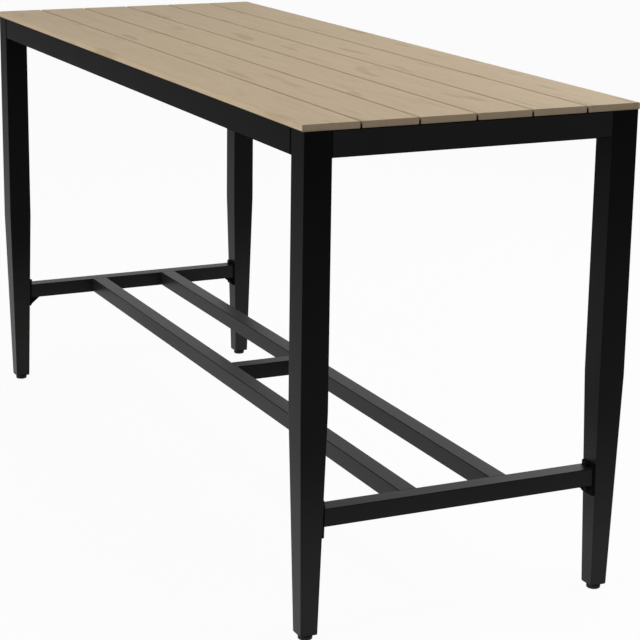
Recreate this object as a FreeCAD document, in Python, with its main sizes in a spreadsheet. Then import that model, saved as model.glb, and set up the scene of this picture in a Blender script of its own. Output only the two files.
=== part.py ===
import FreeCAD, Part
import math
import os
import re
import Sketcher

# Bar table: six slats on a frame of tapered square legs, with an H-shaped footrest between the legs.
# +Z is up and +X runs along the table. The origin is on the floor under the middle of the table.

SIZES = {
    # Top
    "table_height": 1050.0,
    "end_reveal": 1.5,
    "side_overhang": 4.0,
    "slat_count": 6,
    "slat_thickness": 14.0,
    "slat_gap": 4.0,
    "slat_arris": 2.4,
    "slat_shadow_edge": 2.0,
    "pilot_depth": 11.0,
    # Frame under the top
    "frame_length": 2003.0,
    "frame_width": 740.0,
    "apron_depth": 53.0,
    "apron_thickness": 25.0,
    "apron_wall": 2.0,
    "tube_corner": 1.5,
    "batten_count": 3,
    "batten_spacing_share": 0.35,
    "batten_width": 40.0,
    "batten_depth": 25.0,
    "batten_wall": 2.0,
    # Legs
    "leg_top_side": 59.0,
    "leg_foot_side": 37.5,
    "leg_wall": 2.0,
    "leg_corner": 2.0,
    "leg_blank_side": 70.0,
    "taper_height": 480.0,
    # Footrest
    "footrest_top": 278.0,
    "rail_width": 40.0,
    "rail_height": 38.0,
    "rail_wall": 1.6,
    "rail_spacing": 210.0,
    "plate_width": 45.0,
    "plate_height": 72.0,
    "plate_thickness": 5.0,
    "plate_corner": 14.0,
    "plate_bolt_pitch": 54.0,
    # Corner brackets between the legs and the long aprons
    "bracket_flange": 30.0,
    "bracket_height": 36.0,
    "bracket_thickness": 3.0,
    "bracket_hole_setback": 17.0,
    # Levelling feet
    "foot_height": 12.0,
    "pad_diameter": 30.0,
    "pad_height": 8.0,
    "pad_edge": 2.5,
    "pad_floor": 2.5,
    "stud_diameter": 8.0,
    "stud_length": 38.0,
    "collar_flats": 13.0,
    "plug_flange": 2.0,
    "plug_depth": 22.0,
    # Fasteners
    "bolt_diameter": 6.0,
    "bolt_length": 14.0,
    "cap_head_diameter": 10.0,
    "cap_head_height": 6.0,
    "hex_head_flats": 10.0,
    "hex_head_height": 4.0,
    "nut_sleeve_diameter": 9.0,
    "nut_length": 12.0,
    "screw_diameter": 4.2,
    "screw_length": 12.0,
    "screw_head_flats": 7.0,
    "screw_head_height": 2.4,
    # Fits
    "running_clearance": 0.08,
    "bolt_clearance": 0.3,
    "insert_clearance": 0.15,
    # How many straight sides stand for a small round form
    "corner_chord_count": 4,
    "shank_sides": 8,
    "pad_sides": 36,
}

doc = FreeCAD.newDocument("bar_table")
sheet = doc.addObject("Spreadsheet::Sheet", "sizes")
for row, (alias, value) in enumerate(SIZES.items(), start=1):
    sheet.set(f"A{row}", alias)
    sheet.set(f"B{row}", str(value))
    sheet.setAlias(f"B{row}", alias)
doc.recompute()

pieces = []
ALONG = {"X": FreeCAD.Vector(1, 0, 0), "Y": FreeCAD.Vector(0, 1, 0), "Z": FreeCAD.Vector(0, 0, 1)}
ACROSS = {"X": "YZ_Plane", "Y": "XZ_Plane"}
HEXAGON_SIDES = 6


def size(alias):
    return float(sheet.get(alias))


def bound(text):
    # Every size named in an expression is read from its cell.
    return re.sub(r"[a-z_]+", lambda found: f"sizes.{found[0]}" if found[0] in SIZES else found[0], text)


def bind(item, prop, text):
    item.setExpression(prop, bound(text))


def new_body(label, x="0", y="0", z="0"):
    body = doc.addObject("PartDesign::Body", label)
    body.Label = label
    for axis, text in zip("xyz", (x, y, z)):
        bind(body, f"Placement.Base.{axis}", text)
    return body


def new_piece(label, x="0", y="0", z="0"):
    body = new_body(label, x, y, z)
    pieces.append(body)
    return body


def new_sketch(body, plane="XY_Plane", offset="0", turn=0):
    # A sketch can stand off its plane, and can be turned about the body's upright axis.
    sketch = body.newObject("Sketcher::SketchObject", "sketch")
    origin = next(item for item in body.Origin.OriginFeatures if item.Role == plane)
    sketch.AttachmentSupport = (origin, [""])
    sketch.MapMode = "FlatFace"
    sketch.AttachmentOffset.Rotation = FreeCAD.Rotation(ALONG["Y"], turn)
    bind(sketch, "AttachmentOffset.Base.z", offset)
    return sketch


def place_point(sketch, geometry, end, x, y):
    # A point is held by its two distances from the sketch's origin, or by an axis that it lies on.
    for way, axis, text in (("x", -2, x), ("y", -1, y)):
        if text == "0":
            sketch.addConstraint(Sketcher.Constraint("PointOnObject", geometry, end, axis))
        else:
            here = getattr(sketch.getPoint(geometry, end), way)
            kind = f"Distance{way.upper()}"
            index = sketch.addConstraint(Sketcher.Constraint(kind, -1, 1, geometry, end, here))
            bind(sketch, f"Constraints[{index}]", text)


def outline(sketch, points):
    count = len(points)
    first = sketch.GeometryCount
    turns = [2 * math.pi * k / count for k in range(count)]
    start = [FreeCAD.Vector(math.cos(turn), math.sin(turn), 0) for turn in turns]
    for k in range(count):
        sketch.addGeometry(Part.LineSegment(start[k], start[(k + 1) % count]))
    for k in range(count):
        sketch.addConstraint(Sketcher.Constraint("Coincident", first + k, 2, first + (k + 1) % count, 1))
    for k, (x, y) in enumerate(points):
        place_point(sketch, first + k, 1, x, y)


def rectangle(sketch, width, height, x="0", y="0"):
    sides = [(-1, -1), (1, -1), (1, 1), (-1, 1)]
    outline(sketch, [(f"{x} + {a}*({width})/2", f"{y} + {b}*({height})/2") for a, b in sides])


def rounded_rectangle(sketch, width, height, radius):
    # Each corner's arc is drawn as a few chords.
    chords = int(size("corner_chord_count"))
    points = []
    for quarter, (a, b) in enumerate([(1, 1), (-1, 1), (-1, -1), (1, -1)]):
        for step in range(chords + 1):
            turn = f"(90*({quarter} + {step}/corner_chord_count))"
            points.append((
                f"{a}*({width}/2 - {radius}) + {radius}*cos({turn})",
                f"{b}*({height}/2 - {radius}) + {radius}*sin({turn})",
            ))
    outline(sketch, points)


def polygon(sketch, sides, flats, x="0", y="0"):
    # A regular polygon of a given size across its flats, with a flat at each side along X.
    reach = f"({flats})/2/cos(180/{sides})"
    turns = [f"(360*({k} + 0.5)/{sides})" for k in range(sides)]
    outline(sketch, [(f"{x} + {reach}*cos({turn})", f"{y} + {reach}*sin({turn})") for turn in turns])


def shank(sketch, diameter, x="0", y="0"):
    # Shanks and the holes around them are hidden under heads, and eight sides are enough for them.
    polygon(sketch, int(size("shank_sides")), diameter, x, y)


def circle(sketch, radius, x="0", y="0"):
    geometry = sketch.addGeometry(Part.Circle(FreeCAD.Vector(0, 0, 0), FreeCAD.Vector(0, 0, 1), 1.0))
    place_point(sketch, geometry, 3, x, y)
    index = sketch.addConstraint(Sketcher.Constraint("Radius", geometry, 1.0))
    bind(sketch, f"Constraints[{index}]", radius)


def pad(body, sketch, length, both=False, backwards=False):
    feature = body.newObject("PartDesign::Pad", "pad")
    feature.Profile = sketch
    feature.SideType = "Symmetric" if both else "One side"
    feature.Reversed = backwards
    bind(feature, "Length", length)
    doc.recompute()
    return feature


def pocket(body, sketch, length="", both=False, backwards=False):
    before = body.Tip.Shape.Volume
    feature = body.newObject("PartDesign::Pocket", "pocket")
    feature.Profile = sketch
    feature.SideType = "Symmetric" if both else "One side"
    feature.Reversed = backwards
    if length:
        bind(feature, "Length", length)
    else:
        feature.Type = "ThroughAll"
    doc.recompute()
    if not feature.Shape.Volume < before:
        raise RuntimeError(f"a pocket in {body.Label} cuts nothing")
    return feature


def edges_of(shape, test):
    names = [f"Edge{k}" for k, edge in enumerate(shape.Edges, start=1) if test(edge)]
    if not names:
        raise RuntimeError("no edge to round")
    return names


STRAIGHT_SHARE = 0.99


def runs_along(axis):
    # True for a straight edge whose direction leans mostly along one axis.
    def test(edge):
        if len(edge.Vertexes) != 2:
            return False
        span = edge.Vertexes[1].Point - edge.Vertexes[0].Point
        return abs(span.dot(axis)) > STRAIGHT_SHARE * edge.Length
    return test


def soften(body, kind, amount, test):
    base = body.Tip
    feature = body.newObject(f"PartDesign::{kind}", kind.lower())
    feature.Base = (base, edges_of(base.Shape, test))
    bind(feature, "Radius" if kind == "Fillet" else "Size", amount)
    doc.recompute()
    return feature


def tube(body, axis, length, width, height, wall):
    # A rectangular tube with rounded outer corners, open at both ends.
    section = new_sketch(body, ACROSS[axis])
    rectangle(section, width, height)
    pad(body, section, length, both=True)
    soften(body, "Fillet", "tube_corner", runs_along(ALONG[axis]))
    bore = new_sketch(body, ACROSS[axis])
    rectangle(bore, f"{width} - 2*{wall}", f"{height} - 2*{wall}")
    pocket(body, bore, both=True)


# Derived places, written in the named sizes
TOP_LENGTH = "(frame_length - 2*end_reveal)"
TOP_WIDTH = "(frame_width + 2*side_overhang)"
SLAT_PITCH = f"(({TOP_WIDTH} + slat_gap)/slat_count)"
SLAT_WIDTH = f"({SLAT_PITCH} - slat_gap)"
SLAT_BOTTOM = "(table_height - slat_thickness)"
BATTEN_SPACING = "(frame_length*batten_spacing_share)"
LEG_X = "(frame_length/2 - leg_top_side/2)"
LEG_Y = "(frame_width/2 - leg_top_side/2)"
LEG_BASE = "(foot_height + plug_flange)"
LEG_GROWTH = f"((leg_top_side - leg_foot_side)/(taper_height - {LEG_BASE}))"
LEG_LEAN = f"atan({LEG_GROWTH}/2)"
FOOTREST_MIDDLE = "(footrest_top - rail_height/2)"
NUT_HOLE = "(nut_sleeve_diameter + 2*running_clearance)"
BOLT_HOLE = "(bolt_diameter + 2*bolt_clearance)"
APRON_MIDDLE = f"({SLAT_BOTTOM} - apron_depth/2)"


def leg_side(height):
    return f"(leg_foot_side + {LEG_GROWTH}*({height} - {LEG_BASE}))"


def centred(index, count, pitch):
    return f"({index} - ({count} - 1)/2)*{pitch}"


CORNERS = {
    "front_left": (-1, -1),
    "front_right": (1, -1),
    "back_left": (-1, 1),
    "back_right": (1, 1),
}


# Slats: boards with bevelled long edges, and pilot holes in the underside for the screws
def make_slat(index):
    slats = int(size("slat_count"))
    body = new_piece(f"slat_{index + 1}", y=centred(index, slats, SLAT_PITCH), z=SLAT_BOTTOM)
    section = new_sketch(body, "YZ_Plane")
    half = f"{SLAT_WIDTH}/2"
    outline(section, [
        (f"-{half} + slat_shadow_edge", "0"),
        (f"{half} - slat_shadow_edge", "0"),
        (half, "slat_shadow_edge"),
        (half, "slat_thickness - slat_arris"),
        (f"{half} - slat_arris", "slat_thickness"),
        (f"-{half} + slat_arris", "slat_thickness"),
        (f"-{half}", "slat_thickness - slat_arris"),
        (f"-{half}", "slat_shadow_edge"),
    ])
    pad(body, section, TOP_LENGTH, both=True)
    pilots = new_sketch(body)
    battens = int(size("batten_count"))
    for k in range(battens):
        shank(pilots, "screw_diameter + 2*running_clearance", centred(k, battens, BATTEN_SPACING))
    pocket(body, pilots, "pilot_depth", backwards=True)
    return body


slats = [make_slat(k) for k in range(int(size("slat_count")))]


# Aprons: rectangular tubes between the legs, their outer faces flush with the legs
def make_apron(label, axis, side):
    long_way = axis == "X"
    reach = "frame_length" if long_way else "frame_width"
    offset = f"{side}*({'frame_width' if long_way else 'frame_length'}/2 - apron_thickness/2)"
    place = {"y" if long_way else "x": offset, "z": APRON_MIDDLE}
    body = new_piece(label, **place)
    tube(body, axis, f"{reach} - 2*leg_top_side", "apron_thickness", "apron_depth", "apron_wall")
    return body


def bracket_holes(apron, side):
    # One hole near each end of a long apron's inner wall takes a rivet nut for a corner bracket.
    holes = new_sketch(apron, "XZ_Plane")
    for end in (-1, 1):
        shank(holes, NUT_HOLE, f"{end}*(frame_length/2 - leg_top_side - bracket_hole_setback)")
    pocket(apron, holes, backwards=side > 0)


for label, side in (("apron_front", -1), ("apron_back", 1)):
    bracket_holes(make_apron(label, "X", side), side)
for label, side in (("apron_left", -1), ("apron_right", 1)):
    make_apron(label, "Y", side)


# Battens: channels across the frame that the slats are screwed down to from below
def make_batten(index, label):
    body = new_piece(label, x=centred(index, int(size("batten_count")), BATTEN_SPACING), z=SLAT_BOTTOM)
    profile = new_sketch(body, "XZ_Plane")
    half, inner = "batten_width/2", "(batten_width/2 - batten_wall)"
    outline(profile, [
        (f"-{half}", "0"),
        (f"-{half}", "-batten_depth"),
        (f"-{inner}", "-batten_depth"),
        (f"-{inner}", "-batten_wall"),
        (inner, "-batten_wall"),
        (inner, "-batten_depth"),
        (half, "-batten_depth"),
        (half, "0"),
    ])
    pad(body, profile, "frame_width - 2*apron_thickness", both=True)
    slats_across = int(size("slat_count"))
    holes = new_sketch(body)
    for k in range(slats_across):
        shank(holes, "screw_diameter + 2*bolt_clearance", y=centred(k, slats_across, SLAT_PITCH))
    pocket(body, holes)
    return body


battens = [make_batten(k, f"batten_{name}") for k, name in enumerate(("left", "middle", "right"))]


# Legs: square tubes, straight to below mid height and then drawn in evenly on all four sides
def trim(body, turn, top_half, foot_half):
    # Cuts a blank back on two opposite sides: upright above the taper, leaning below it.
    for side in ("", "-"):
        waste = new_sketch(body, "XZ_Plane", turn=turn)
        outline(waste, [
            (f"{side}leg_blank_side", SLAT_BOTTOM),
            (f"{side}{top_half}", SLAT_BOTTOM),
            (f"{side}{top_half}", "taper_height"),
            (f"{side}{foot_half}", LEG_BASE),
            (f"{side}leg_blank_side", LEG_BASE),
        ])
        pocket(body, waste, both=True)


def leg_bore(body):
    sections = []
    for height, side in ((LEG_BASE, "leg_foot_side"), ("taper_height", "leg_top_side"), (SLAT_BOTTOM, "leg_top_side")):
        sketch = new_sketch(body, offset=height)
        rectangle(sketch, f"{side} - 2*leg_wall", f"{side} - 2*leg_wall")
        sections.append(sketch)
    bore = body.newObject("PartDesign::SubtractiveLoft", "bore")
    bore.Profile = sections[0]
    bore.Sections = sections[1:]
    bore.Ruled = True
    doc.recompute()


def make_leg(corner):
    across, deep = CORNERS[corner]
    body = new_piece(f"leg_{corner}", x=f"{across}*{LEG_X}", y=f"{deep}*{LEG_Y}")
    blank = new_sketch(body, offset=LEG_BASE)
    rectangle(blank, "leg_blank_side", "leg_blank_side")
    pad(body, blank, f"{SLAT_BOTTOM} - {LEG_BASE}")
    for turn in (0, 90):
        trim(body, turn, "(leg_top_side/2)", "(leg_foot_side/2)")
    for turn in (45, 135):
        trim(body, turn, "((leg_top_side - leg_corner)/sqrt(2))", "((leg_foot_side - leg_corner)/sqrt(2))")
    leg_bore(body)
    footrest_holes = new_sketch(body, "XZ_Plane")
    for end in (-1, 1):
        shank(footrest_holes, NUT_HOLE, y=f"{FOOTREST_MIDDLE} + {end}*plate_bolt_pitch/2*cos({LEG_LEAN})")
    pocket(body, footrest_holes, backwards=deep > 0)
    bracket_hole = new_sketch(body, "YZ_Plane")
    setback = f"{deep}*(leg_top_side/2 - apron_thickness - bracket_hole_setback)"
    shank(bracket_hole, NUT_HOLE, setback, APRON_MIDDLE)
    pocket(body, bracket_hole, backwards=across < 0)


for corner in CORNERS:
    make_leg(corner)


# Footrest: two stretchers between the legs, two long rails between them and a brace in the middle
def make_stretcher(label, side):
    # Both ends are cut to the lean of the end plates.
    body = new_piece(label, x=f"{side}*{LEG_X}", z=FOOTREST_MIDDLE)
    profile = new_sketch(body, "YZ_Plane")

    def reach(height):
        return f"({LEG_Y} - {leg_side(f'{FOOTREST_MIDDLE} + {height}')}/2 - plate_thickness/cos({LEG_LEAN}))"

    upper, lower = "rail_height/2", "-rail_height/2"
    outline(profile, [
        (f"-{reach(lower)}", lower),
        (reach(lower), lower),
        (reach(upper), upper),
        (f"-{reach(upper)}", upper),
    ])
    pad(body, profile, "rail_width", both=True)
    soften(body, "Fillet", "tube_corner", runs_along(ALONG["Y"]))
    bore = new_sketch(body, "XZ_Plane")
    rectangle(bore, "rail_width - 2*rail_wall", "rail_height - 2*rail_wall")
    pocket(body, bore, both=True)


for label, side in (("stretcher_left", -1), ("stretcher_right", 1)):
    make_stretcher(label, side)

for label, side in (("rail_front", -1), ("rail_back", 1)):
    rail = new_piece(label, y=f"{side}*rail_spacing/2", z=FOOTREST_MIDDLE)
    tube(rail, "X", f"2*{LEG_X} - rail_width", "rail_width", "rail_height", "rail_wall")

brace = new_piece("cross_brace", z=FOOTREST_MIDDLE)
tube(brace, "Y", "rail_spacing - rail_width", "rail_width", "rail_height", "rail_wall")


# End plates: welded on the stretchers and bolted flat against the leaning inner faces of the legs
def make_plate(corner):
    across, deep = CORNERS[corner]
    face = f"{deep}*({LEG_Y} - {leg_side(FOOTREST_MIDDLE)}/2)"
    body = new_piece(f"end_plate_{corner}", x=f"{across}*{LEG_X}", y=face, z=FOOTREST_MIDDLE)
    body.Placement.Rotation.Axis = ALONG["X"]
    bind(body, "Placement.Rotation.Angle", f"{deep}*{LEG_LEAN}")
    profile = new_sketch(body, "XZ_Plane")
    rounded_rectangle(profile, "plate_width", "plate_height", "plate_corner")
    pad(body, profile, "plate_thickness", backwards=deep < 0)
    holes = new_sketch(body, "XZ_Plane")
    for end in (-1, 1):
        shank(holes, BOLT_HOLE, y=f"{end}*plate_bolt_pitch/2")
    pocket(body, holes, both=True)
    return body


plates = {corner: make_plate(corner) for corner in CORNERS}


# Corner brackets: angles in the corner between a leg and the inner face of a long apron
def make_bracket(corner):
    across, deep = CORNERS[corner]
    inner_x = f"{across}*(frame_length/2 - leg_top_side)"
    inner_y = f"{deep}*(frame_width/2 - apron_thickness)"
    body = new_piece(f"corner_bracket_{corner}", x=inner_x, y=inner_y, z=APRON_MIDDLE)
    profile = new_sketch(body)
    a, b = -across, -deep
    outline(profile, [
        ("0", "0"),
        (f"{a}*bracket_flange", "0"),
        (f"{a}*bracket_flange", f"{b}*bracket_thickness"),
        (f"{a}*bracket_thickness", f"{b}*bracket_thickness"),
        (f"{a}*bracket_thickness", f"{b}*bracket_flange"),
        ("0", f"{b}*bracket_flange"),
    ])
    pad(body, profile, "bracket_height", both=True)
    for plane, sign in (("XZ_Plane", a), ("YZ_Plane", b)):
        hole = new_sketch(body, plane)
        shank(hole, BOLT_HOLE, f"{sign}*bracket_hole_setback")
        pocket(body, hole, both=True)
    return body


brackets = {corner: make_bracket(corner) for corner in CORNERS}


# Leg plugs: close the foot of each leg and carry the levelling stud
def make_plug(corner, x, y):
    body = new_piece(f"leg_plug_{corner}", x, y, "foot_height")
    flange = new_sketch(body)
    rectangle(flange, "leg_foot_side", "leg_foot_side")
    pad(body, flange, "plug_flange")
    soften(body, "Chamfer", "leg_corner", runs_along(ALONG["Z"]))
    insert = new_sketch(body, offset="plug_flange")
    inside = "leg_foot_side - 2*leg_wall - 2*insert_clearance"
    rectangle(insert, inside, inside)
    pad(body, insert, "plug_depth")
    hole = new_sketch(body)
    circle(hole, "stud_diameter/2 + running_clearance")
    pocket(body, hole, both=True)


# Foot pads: round glides with a bevelled lower edge and a blind bore that the stud turns in
def make_pad(corner, x, y):
    body = new_piece(f"foot_pad_{corner}", x, y)
    disc = new_sketch(body)
    polygon(disc, int(size("pad_sides")), "pad_diameter")
    pad(body, disc, "pad_height")
    soften(body, "Chamfer", "pad_edge", lambda edge: abs(edge.CenterOfMass.z) < size("running_clearance"))
    bore = new_sketch(body, offset="pad_floor")
    circle(bore, "stud_diameter/2 + running_clearance")
    pocket(body, bore, "pad_height", backwards=True)


# Studs: threaded rods with a hexagon collar that stops against the leg plug
def make_stud(corner, x, y):
    body = new_piece(f"foot_stud_{corner}", x, y)
    collar = new_sketch(body, offset="pad_height")
    polygon(collar, HEXAGON_SIDES, "collar_flats")
    pad(body, collar, "foot_height - pad_height")
    rod = new_sketch(body, offset="pad_floor + 2*running_clearance")
    circle(rod, "stud_diameter/2")
    pad(body, rod, "stud_length")


for make in (make_plug, make_pad, make_stud):
    for corner, (across, deep) in CORNERS.items():
        make(corner, f"{across}*{LEG_X}", f"{deep}*{LEG_Y}")


# Fasteners: made once with their seat at the origin and pointing along +Z, then copied to their places
def make_fastener(label, head_height, shank_diameter, shank_length, head_sides=0, head_width=""):
    body = new_body(label)
    head = new_sketch(body)
    if head_sides:
        polygon(head, head_sides, head_width)
    else:
        circle(head, f"{head_width}/2")
    pad(body, head, head_height, backwards=True)
    stem = new_sketch(body)
    shank(stem, shank_diameter)
    pad(body, stem, shank_length)
    return body


def make_rivet_nut(label):
    body = new_body(label)
    sleeve = new_sketch(body)
    shank(sleeve, "nut_sleeve_diameter")
    shank(sleeve, "bolt_diameter + 2*running_clearance")
    pad(body, sleeve, "nut_length")
    return body


cap_bolt = make_fastener("cap_bolt", "cap_head_height", "bolt_diameter", "bolt_length",
                         head_width="cap_head_diameter")
hex_bolt = make_fastener("hex_bolt", "hex_head_height", "bolt_diameter", "bolt_length",
                         HEXAGON_SIDES, "hex_head_flats")
slat_screw = make_fastener("slat_screw", "screw_head_height", "screw_diameter", "screw_length",
                           HEXAGON_SIDES, "screw_head_flats")
rivet_nut = make_rivet_nut("rivet_nut")


def group(label, fastener, placements):
    # Identical fasteners share one piece, as separate solids.
    copies = []
    for placement in placements:
        copy = fastener.Shape.copy()
        copy.Placement = placement
        copies.append(copy)
    feature = doc.addObject("Part::Feature", label)
    feature.Label = label
    feature.Shape = Part.makeCompound(copies)
    pieces.append(feature)


def seated(body, outwards, seat, thickness):
    # Where a bolt's head rests on a plate and where its rivet nut begins behind it.
    turn = FreeCAD.Rotation(ALONG["Z"], outwards)
    head = seat - outwards * size(thickness)
    return [body.Placement.multiply(FreeCAD.Placement(place, turn)) for place in (head, seat)]


doc.recompute()
footrest_seats = []
for corner, plate in plates.items():
    outwards = ALONG["Y"] * CORNERS[corner][1]
    for end in (-1, 1):
        seat = ALONG["Z"] * (end * size("plate_bolt_pitch") / 2)
        footrest_seats.append(seated(plate, outwards, seat, "plate_thickness"))

bracket_seats = []
for corner, bracket in brackets.items():
    outwards_x = ALONG["X"] * CORNERS[corner][0]
    outwards_y = ALONG["Y"] * CORNERS[corner][1]
    for outwards, inwards in ((outwards_x, -outwards_y), (outwards_y, -outwards_x)):
        seat = inwards * size("bracket_hole_setback")
        bracket_seats.append(seated(bracket, outwards, seat, "bracket_thickness"))

screw_seats = []
for batten in battens:
    for slat in slats:
        seat = FreeCAD.Vector(batten.Placement.Base.x, slat.Placement.Base.y, slat.Placement.Base.z)
        screw_seats.append(FreeCAD.Placement(seat - ALONG["Z"] * size("batten_wall"), FreeCAD.Rotation()))

group("footrest_bolts", cap_bolt, [head for head, nut in footrest_seats])
group("footrest_rivet_nuts", rivet_nut, [nut for head, nut in footrest_seats])
group("bracket_bolts", hex_bolt, [head for head, nut in bracket_seats])
group("bracket_rivet_nuts", rivet_nut, [nut for head, nut in bracket_seats])
group("slat_screws", slat_screw, screw_seats)

doc.recompute()
for item in doc.Objects:
    if {"Invalid", "Error"} & set(item.State):
        raise RuntimeError(f"{item.Label} did not build: {item.State}")
for piece in pieces:
    if piece.Shape.isNull() or not piece.Shape.isValid() or piece.Shape.Volume <= 0:
        raise RuntimeError(f"{piece.Label} has no valid shape")

os.makedirs("parts", exist_ok=True)
for piece in pieces:
    piece.Shape.exportStep(os.path.join("parts", f"{piece.Label}.step"))
    box = piece.Shape.BoundBox
    print(f"{piece.Label:26s} solids {len(piece.Shape.Solids):2d} volume {piece.Shape.Volume:12.1f}"
          f" x {box.XMin:8.1f} {box.XMax:8.1f} y {box.YMin:7.1f} {box.YMax:7.1f}"
          f" z {box.ZMin:7.1f} {box.ZMax:7.1f}")
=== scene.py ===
# %% [markdown]
# # A bar table with a slatted top
#
# The table is 1.05 m high and 2 m long. Six wood-look boards lie side by side on a black metal frame.
# The frame has four tapered square legs, aprons between them, an H-shaped footrest and four screw feet.
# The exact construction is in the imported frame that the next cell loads. This lesson dresses it:
# boards with softened edges and grain, tubes with seams, bolts with sockets, threaded feet, and light.

import math

import bmesh
import bpy
from mathutils import Matrix, Vector


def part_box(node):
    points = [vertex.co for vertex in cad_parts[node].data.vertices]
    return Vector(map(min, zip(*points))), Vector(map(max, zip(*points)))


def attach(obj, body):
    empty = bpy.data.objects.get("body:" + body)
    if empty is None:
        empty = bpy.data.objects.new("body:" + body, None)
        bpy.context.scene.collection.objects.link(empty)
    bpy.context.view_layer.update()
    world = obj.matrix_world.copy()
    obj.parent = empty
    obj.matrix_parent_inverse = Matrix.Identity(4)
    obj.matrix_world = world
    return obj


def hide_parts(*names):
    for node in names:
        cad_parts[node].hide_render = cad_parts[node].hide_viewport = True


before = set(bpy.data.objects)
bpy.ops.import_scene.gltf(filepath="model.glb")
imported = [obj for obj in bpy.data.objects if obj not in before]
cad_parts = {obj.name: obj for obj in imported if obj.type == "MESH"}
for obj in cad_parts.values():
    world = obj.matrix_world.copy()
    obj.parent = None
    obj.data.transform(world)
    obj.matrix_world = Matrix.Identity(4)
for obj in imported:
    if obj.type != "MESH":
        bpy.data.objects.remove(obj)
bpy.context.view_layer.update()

# %% [markdown]
# ## Shader maths as plain sums
#
# A finish is a small graph of nodes. Wiring every Math node by hand hides what the graph computes, so a
# Signal wraps one output socket and Python's own operators add the nodes. A Finish is a material that is
# being mixed. Its node method makes any other node: first the settings, then the sockets.

# %% Signals and finishes


class Signal:
    """One output socket of a finish. Sums on it become Math nodes."""

    def __init__(self, finish, socket):
        self.finish = finish
        self.socket = socket

    def math(self, operation, *values):
        return self.finish.node("ShaderNodeMath", {"operation": operation}, dict(enumerate(values)))

    def __add__(self, other):
        return self.math("ADD", self, other)

    def __sub__(self, other):
        return self.math("SUBTRACT", self, other)

    def __rsub__(self, other):
        return self.math("SUBTRACT", other, self)

    def __mul__(self, other):
        return self.math("MULTIPLY", self, other)

    def __truediv__(self, other):
        return self.math("DIVIDE", self, other)

    __radd__ = __add__


class Finish:
    """A material, or the world, that is being mixed."""

    def __init__(self, name, owner=None):
        self.material = owner or bpy.data.materials.new(name)
        self.material.use_nodes = True
        self.tree = self.material.node_tree
        self.tree.nodes.clear()

    def node(self, kind, settings=None, sockets=None, output=0):
        made = self.tree.nodes.new(kind)
        for name, value in (settings or {}).items():
            setattr(made, name, value)
        for name, value in (sockets or {}).items():
            if isinstance(value, Signal):
                self.tree.links.new(value.socket, made.inputs[name])
            else:
                made.inputs[name].default_value = value
        return Signal(self, made.outputs[output]) if made.outputs else None

    def place(self):
        """The point on the piece, in the table's own metres, as three signals."""
        point = self.node("ShaderNodeTexCoord", output="Object")
        return [self.node("ShaderNodeSeparateXYZ", sockets={0: point}, output=axis) for axis in range(3)]

    def noise(self, x, y, z, scale=1.0, detail=2.0, roughness=0.5):
        point = self.node("ShaderNodeCombineXYZ", sockets={0: x, 1: y, 2: z})
        sockets = {"Vector": point, "Scale": scale, "Detail": detail, "Roughness": roughness}
        return self.node("ShaderNodeTexNoise", sockets=sockets)

    def mask(self, signal, low, high):
        """0 where the signal is at low and 1 where it is at high, with soft ends."""
        sockets = {"Value": signal, "From Min": low, "From Max": high}
        return self.node("ShaderNodeMapRange", {"interpolation_type": "SMOOTHSTEP"}, sockets)

    def blend(self, share, low, high):
        """A colour between two colours, each three numbers or another blend."""
        tones = [tone if isinstance(tone, Signal) else (*tone, 1.0) for tone in (low, high)]
        settings = {"data_type": "RGBA", "clamp_factor": True}
        return self.node("ShaderNodeMix", settings, {0: share, 6: tones[0], 7: tones[1]}, output=2)

    def bump(self, height, depth):
        return self.node("ShaderNodeBump", sockets={"Height": height, "Distance": depth, "Strength": 1.0})

    def finished(self, **sockets):
        named = {name.replace("_", " "): value for name, value in sockets.items()}
        shader = self.node("ShaderNodeBsdfPrincipled", sockets=named)
        self.node("ShaderNodeOutputMaterial", sockets={"Surface": shader})
        return self.material


print("a finish is ready to be mixed")

# %% [markdown]
# ## The boards' finish
#
# The boards have an embossed oak look: greige, matt, with streaks along the board, short dark pores and now
# and then a soft brown flame where the grain closes. A picture would repeat, so the grain is noise that is
# stretched along X. The board's number, counted across the table, shifts the pattern, so that no two boards
# match and the grain never runs across a gap. One recipe makes four finishes: the face, with painted shade
# along its lower edge, the browner sawn ends, the sides in the gaps, with painted shade that deepens with
# depth, and the underside.

# %% Mix the boards' finish
MM = 0.001
BOARD_COUNT = 6
board_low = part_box("slat_1")[0]
board_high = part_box(f"slat_{BOARD_COUNT}")[1]
board_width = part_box("slat_1")[1].y - board_low.y
board_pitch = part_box("slat_2")[0].y - board_low.y
BOARD_SHIFT_ALONG = 7.31
BOARD_SHIFT_ACROSS = 0.613

OAK_PALE = (0.552, 0.430, 0.285)
OAK_MIDDLE = (0.495, 0.379, 0.245)
OAK_DARK = (0.410, 0.300, 0.184)
FLAME_BROWN = (0.260, 0.178, 0.098)
PORE_BROWN = (0.215, 0.155, 0.100)
SAWN_BROWN = (0.205, 0.158, 0.118)
# The brown of painted shade, for the gaps and the shadow line under the boards.
PAINTED_SHADE_BROWN = (0.035, 0.024, 0.015)

# A layer of grain: how fine it is along the board and across it, its detail and its roughness.
WAVER = (1.6, 5, 2.0, 0.5)
BAND = (2.6, 24, 3.0, 0.6)
STREAK = (9, 150, 4.0, 0.65)
FIBRE = (36, 560, 2.0, 0.5)
PORE = (55, 1100, 1.0, 0.5)
FLAME = (5, 24, 1.0, 0.5)
WAVER_REACH = 16 * MM

# Where in a layer, from 0 to 1, its mark starts and where it is full.
TONE_MASK = (0.30, 0.66)
VALLEY_MASK = (0.30, 0.44)
PORE_MASK = (0.62, 0.74)
FLAME_MASK = (0.61, 0.76)

# How much each layer counts in the tone, and how strongly each mark covers it.
BAND_SHARE, STREAK_SHARE, FIBRE_SHARE, BOARD_SHARE = 0.40, 0.38, 0.22, 0.12
VALLEY_STRENGTH, FLAME_STRENGTH, PORE_STRENGTH = 0.30, 0.55, 0.25
FLAME_EVEN, FLAME_STREAKED = 0.35, 0.6

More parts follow.
